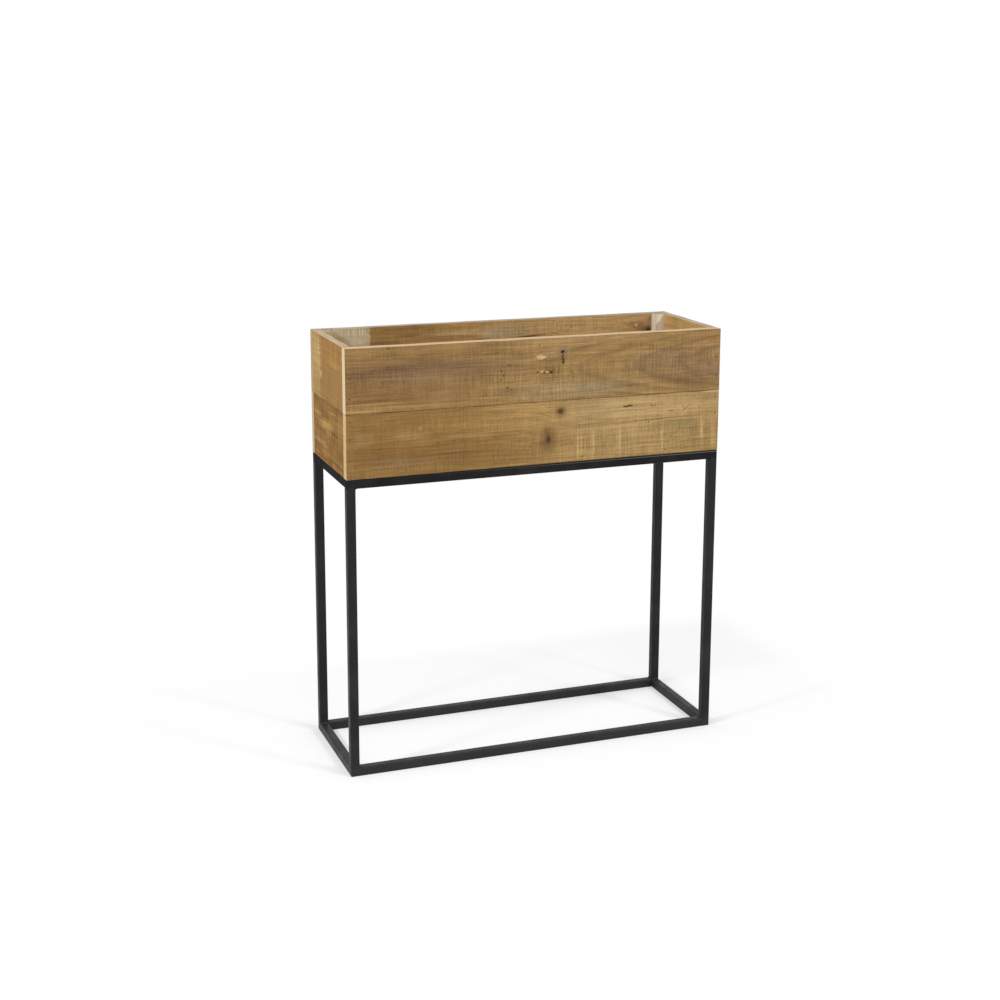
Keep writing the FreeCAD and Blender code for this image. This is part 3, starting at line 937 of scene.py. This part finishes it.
# Base: two boards of the same wood as the walls, laid flat between them and drilled for drainage.
# They are held by nails through the lower planks.
FLAT_AXES = (0, 1, 2)
base_boards = {
    "front_base_board": dict(heart=(500.0, 20.0), seed=10.0),
    "rear_base_board": dict(heart=(470.0, 20.0), seed=14.0),
}
for node, details in base_boards.items():
    finish_with(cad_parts[node], old_pine(
        node + "_pine", FLAT_AXES, ring=6.0, tones=GOLD, ring_tone=BROWN_RING, joint_dirt_and_shade=0, **details))

# Corner blocks: square posts of pale, bare softwood, stood on the base and glued into the corners.
# The one at the rear left has weathered.
POST_AXES = (2, 1, 0)
PALE_BLOCK = ("b4a58e", "d6c9b2", "ecdfca", "f4ecdd")
PALE_BLOCK_RING = "b2a08a"
WEATHERED_BLOCK = ("988564", "b6a37f", "c9b591", "d0c09f")
WEATHERED_BLOCK_RING = "968364"


def block_wood(name, tones, ring_tone):
    """Softwood with its grain upright."""
    return old_pine(
        name, POST_AXES, heart=(300.0, 60.0), ring=3.0, tones=tones, ring_tone=ring_tone, seed=9.0,
        joint_dirt_and_shade=0, rim=("b2a692", "8c8070"))


block_pine = block_wood("block_pine", PALE_BLOCK, PALE_BLOCK_RING)
weathered_pine = block_wood("weathered_pine", WEATHERED_BLOCK, WEATHERED_BLOCK_RING)
for node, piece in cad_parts.items():
    if node.endswith("_corner_block"):
        finish_with(piece, weathered_pine if node.startswith("rear_left") else block_pine)

# Nails and screws: nails of flat steel wire, driven just below the surface of the planks,
# and zinc-plated screws whose heads sit inside the top ring.


def bare_steel(name, clean, dull, roughness):
    """Plain steel with dull spots."""
    material, tree, shader = new_finish(name)
    place = put(tree, "ShaderNodeTexCoord", out=3)
    spots = mottle(tree, place, 300.0, 3.0)
    tree.links.new(over(tree, spots, card(clean), card(dull)), shader.inputs["Base Color"])
    tree.links.new(fade(tree, spots, 0.3, 0.7, roughness, roughness + 0.15), shader.inputs["Roughness"])
    shader.inputs["Metallic"].default_value = 1.0
    return material


nail_steel = bare_steel("nail_steel", clean="84694a", dull="5a442c", roughness=0.55)
zinc = bare_steel("zinc_plate", clean="c4c4c2", dull="9a9a98", roughness=0.35)
for node, finish in (("corner_nails", nail_steel), ("base_nails", nail_steel), ("frame_screws", zinc)):
    finish_with(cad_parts[node], finish)

# Floor: a plain white sweep under the planter. It is darkest right beside the tube of the bottom ring,
# keeps a faint shadow a little further out, and is pure white beyond that.
FLOOR_REACH = 30.0
FLOOR_LIT = (0.97, 0.97, 0.97, 1)
FLOOR_SEEN = (0.95, 0.95, 0.95, 1)
CONTACT_REACH = (8 * MM, 85 * MM)
CONTACT_WHITE = (0.34, 0.78)
SHADOW_REACH = (50 * MM, 400 * MM)
floor_mesh = bpy.data.meshes.new("floor")
floor_corners = [(x * FLOOR_REACH, y * FLOOR_REACH, 0) for x, y in ((-1, -1), (1, -1), (1, 1), (-1, 1))]
floor_mesh.from_pydata(floor_corners, [], [(0, 1, 2, 3)])
floor = bpy.data.objects.new("floor", floor_mesh)
bpy.context.scene.collection.objects.link(floor)
floor_white, floor_tree, floor_shader = new_finish("floor_white")
floor_shader.inputs["Roughness"].default_value = 1.0
floor_shader.inputs["Specular IOR Level"].default_value = 0.0
floor_place = put(floor_tree, "ShaderNodeTexCoord", out=3)
foot_low, foot_high = (Vector(corner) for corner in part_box("front_bottom_rail"))
tube_width = foot_high.z - foot_low.z
ring_reach = (foot_high.x - tube_width / 2, -foot_low.y - tube_width / 2, 0)
apart = put(floor_tree, "ShaderNodeVectorMath", {0: floor_place}, operation="ABSOLUTE")
outward = put(floor_tree, "ShaderNodeVectorMath", {0: apart, 1: ring_reach}, operation="SUBTRACT")
beyond_ring = floor_tree.nodes.new("ShaderNodeSeparateXYZ")
floor_tree.links.new(outward, beyond_ring.inputs[0])
from_ring = calc(floor_tree, "MAXIMUM", beyond_ring.outputs[0], beyond_ring.outputs[1])
from_ring = calc(floor_tree, "ABSOLUTE", from_ring)
contact = fade(floor_tree, from_ring, *CONTACT_REACH, *CONTACT_WHITE)
bleach = calc(floor_tree, "MAXIMUM", contact, fade(floor_tree, from_ring, *SHADOW_REACH))
sight = put(floor_tree, "ShaderNodeLightPath", out=0)
floor_tree.links.new(over(floor_tree, sight, FLOOR_LIT, FLOOR_SEEN), floor_shader.inputs["Base Color"])
glow = put(floor_tree, "ShaderNodeEmission", {"Color": (1, 1, 1, 1), "Strength": 1.0})
seen_white = times(floor_tree, sight, bleach)
mixed = put(floor_tree, "ShaderNodeMixShader", {0: seen_white, 1: floor_shader.outputs[0], 2: glow})
floor_tree.links.new(mixed, floor_tree.nodes["Material Output"].inputs["Surface"])
floor_mesh.materials.append(floor_white)

# Light: a white room, a small soft lamp at the left and one at the right, and a weak large one overhead.
# The room is plain white to the eye and in reflections, and lights the object less than that.
ROOM_LIGHT = 0.55
ROOM_SEEN = 1.0
room = bpy.data.worlds.new("room")
bpy.context.scene.world = room
room.use_nodes = True
rays = room.node_tree.nodes.new("ShaderNodeLightPath")
plain = calc(room.node_tree, "MAXIMUM", rays.outputs["Is Camera Ray"], rays.outputs["Is Glossy Ray"])
plain = calc(room.node_tree, "MAXIMUM", plain, rays.outputs["Is Transmission Ray"])
backdrop = room.node_tree.nodes["Background"]
backdrop.inputs["Color"].default_value = (1, 1, 1, 1)
room_strength = fade(room.node_tree, plain, 0.0, 1.0, ROOM_LIGHT, ROOM_SEEN)
room.node_tree.links.new(room_strength, backdrop.inputs["Strength"])


def soft_lamp(name, place, aim, width, watts):
    """A square soft lamp that faces a point."""
    light = bpy.data.lights.new(name, "AREA")
    light.size = width
    light.energy = watts
    lamp = bpy.data.objects.new(name, light)
    lamp.location = place
    lamp.rotation_euler = (Vector(aim) - Vector(place)).to_track_quat("-Z", "Y").to_euler()
    bpy.context.scene.collection.objects.link(lamp)


soft_lamp("high_lamp", place=(0.0, -1.5, 3.4), aim=(0, 0, 0.6), width=2.2, watts=16)
soft_lamp("left_lamp", place=(-2.96, -1.08, 2.46), aim=(0, 0, 0.5), width=0.36, watts=64)
soft_lamp("right_lamp", place=(1.81, -2.58, 2.46), aim=(0, 0, 0.5), width=0.36, watts=44)

# Camera: in front of the planter, left of its middle, looking a little down over the rim.
# The picture is shifted, so that the planter stands near its middle.
CAMERA_PLACE = Vector((-1.04747, -2.73632, 1.2037))
CAMERA_YAW, CAMERA_PITCH, CAMERA_ROLL = (math.radians(angle) for angle in (20.382, 11.79, 0.186))
CAMERA_LENS = 59.34
SENSOR_WIDTH = 36.0
PICTURE_SHIFT = -0.08
SIGHT_REACH = 200.0
camera = bpy.data.objects.new("camera", bpy.data.cameras.new("camera"))
bpy.context.scene.collection.objects.link(camera)
camera.data.sensor_width = SENSOR_WIDTH
camera.data.lens = CAMERA_LENS
camera.data.shift_y = PICTURE_SHIFT
camera.data.clip_end = SIGHT_REACH
level = Vector((math.cos(CAMERA_YAW), -math.sin(CAMERA_YAW), 0))
sight_line = Vector((math.sin(CAMERA_YAW), math.cos(CAMERA_YAW), 0)) * math.cos(CAMERA_PITCH)
sight_line.z = -math.sin(CAMERA_PITCH)
to_right = math.cos(CAMERA_ROLL) * level + math.sin(CAMERA_ROLL) * level.cross(sight_line)
turn = Matrix((to_right, to_right.cross(sight_line), -sight_line)).transposed().to_4x4()
camera.matrix_world = Matrix.Translation(CAMERA_PLACE) @ turn
bpy.context.scene.camera = camera
bpy.context.scene.view_settings.view_transform = "Standard"
